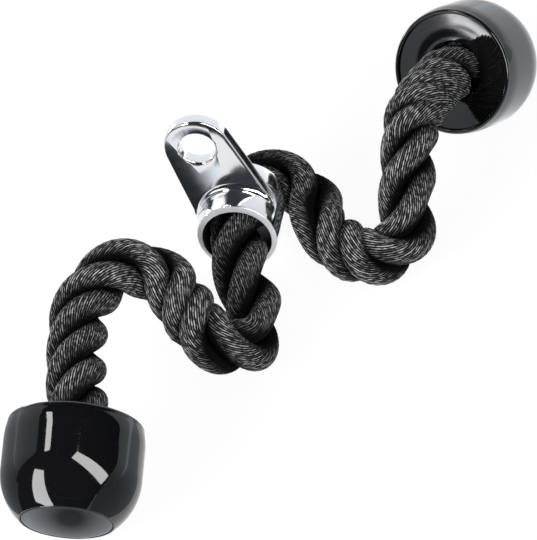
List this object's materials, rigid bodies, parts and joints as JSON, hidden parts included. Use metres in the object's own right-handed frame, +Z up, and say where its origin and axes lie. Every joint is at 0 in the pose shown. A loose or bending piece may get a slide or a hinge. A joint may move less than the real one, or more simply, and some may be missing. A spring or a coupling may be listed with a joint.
{
  "type": "triceps rope attachment",
  "caption": "Cable machine handle: a thick laid rope threaded through a plated eye that hangs from a snap hook, with a smooth moulded knob turning on each rope end.",
  "frame": {"origin": "on the surface that the attachment lies on, under the middle of the box that the eye and the knobs fill", "axes": "+Z up; +Y along the eye's sleeve, from the nearer knob of the picture towards the farther one; +X towards the farther knob's side"},
  "size_m": [0.2378, 0.4099, 0.085],
  "materials": {
    "polished_chrome": "bright chrome plate over a smooth casting",
    "glossy_black_moulding": "glossy black moulding with a fine mould finish",
    "zinc_plated_steel": "dull zinc plate",
    "black_filament_rope": "shiny black filament yarn"
  },
  "bodies": {
    "rope": {"rope_middle": "black_filament_rope"},
    "eye": {"eye_casting": "polished_chrome"},
    "left_leg": {"rope_left_free": "black_filament_rope", "rope_left_end": "black_filament_rope", "left_crimp_ferrule": "zinc_plated_steel"},
    "left_knob": {"left_knob_shell": "glossy_black_moulding", "left_end_plug": "glossy_black_moulding", "left_thrust_washer": "zinc_plated_steel"},
    "right_leg": {"rope_right_free": "black_filament_rope", "rope_right_end": "black_filament_rope", "right_crimp_ferrule": "zinc_plated_steel"},
    "right_knob": {"right_knob_shell": "glossy_black_moulding", "right_end_plug": "glossy_black_moulding", "right_thrust_washer": "zinc_plated_steel"}
  },
  "joints": [
    {"name": "eye_swivel", "type": "hinge", "parent": "rope", "child": "eye", "pos_m": [-0.02635, 0.0475, 0.0218], "axis": [0, 1, 0], "range_deg": [-64, 58]},
    {"name": "left_leg_swing", "type": "hinge", "parent": "rope", "child": "left_leg", "pos_m": [-0.02035, 0.00122, 0.0165], "axis": [0, 0, 1], "range_deg": [-20, 20], "deforming": ["rope_left_free"]},
    {"name": "right_leg_swing", "type": "hinge", "parent": "rope", "child": "right_leg", "pos_m": [-0.00735, 0.0828, 0.0185], "axis": [0, 0, 1], "range_deg": [0, 20], "deforming": ["rope_right_free"]},
    {"name": "left_knob_spin", "type": "hinge", "parent": "left_leg", "child": "left_knob", "pos_m": [-0.08415, -0.1489, 0.04644], "axis": [0.025, -0.8954, -0.4446], "continuous": true},
    {"name": "right_knob_spin", "type": "hinge", "parent": "right_leg", "child": "right_knob", "pos_m": [0.07405, 0.1496, 0.04574], "axis": [0.3814, 0.8254, -0.4163], "continuous": true}
  ]
}
